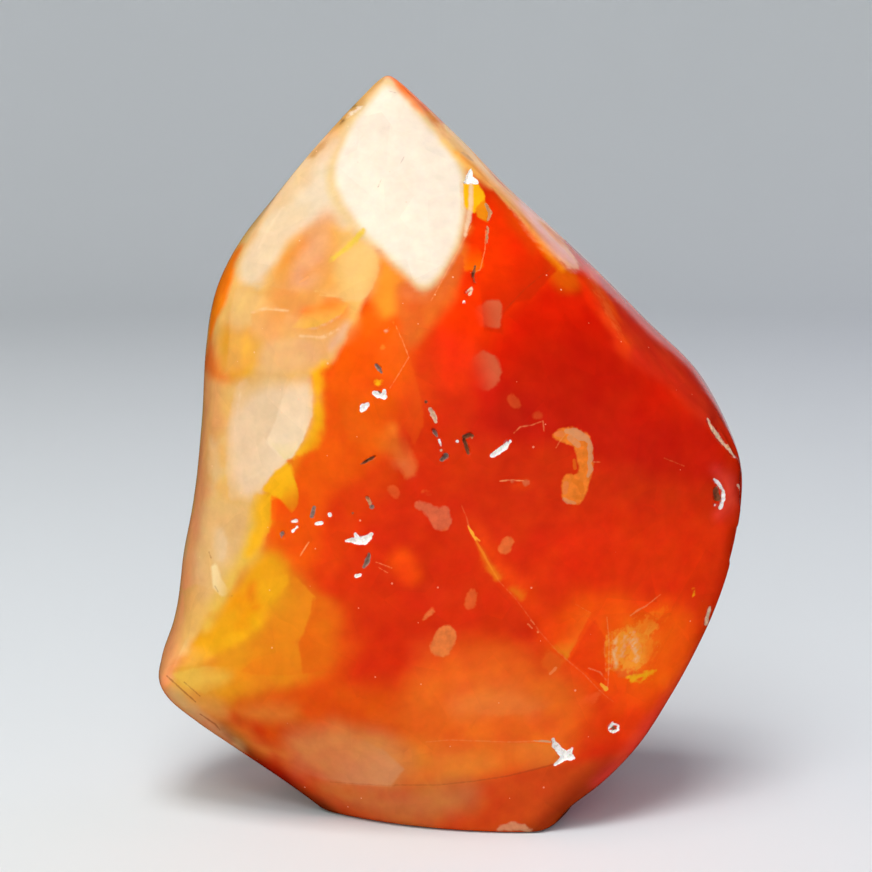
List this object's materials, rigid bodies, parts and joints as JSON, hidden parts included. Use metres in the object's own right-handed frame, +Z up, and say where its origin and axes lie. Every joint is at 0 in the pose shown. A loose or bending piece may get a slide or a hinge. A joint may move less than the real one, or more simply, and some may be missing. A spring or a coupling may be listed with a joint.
{
  "type": "carnelian flame carving",
  "caption": "Polished carnelian carved as a free-standing flame: a broad bulged face between twisting ridges that meet in a leaning tip, on a small flat base.",
  "frame": {"origin": "on the flat base, near its middle and close below the stone's centre of mass", "axes": "+Z up, square to the flat base; -Y out of the broad face that the picture shows; +X to the right of that face, towards its lower shoulder"},
  "size_m": [0.0888, 0.0472, 0.11],
  "materials": {
    "carnelian": "polished, glossy and translucent, red orange with cream, peach and golden zones, small open pockets"
  },
  "bodies": {
    "root": {"carnelian_flame": "carnelian"}
  },
  "joints": []
}
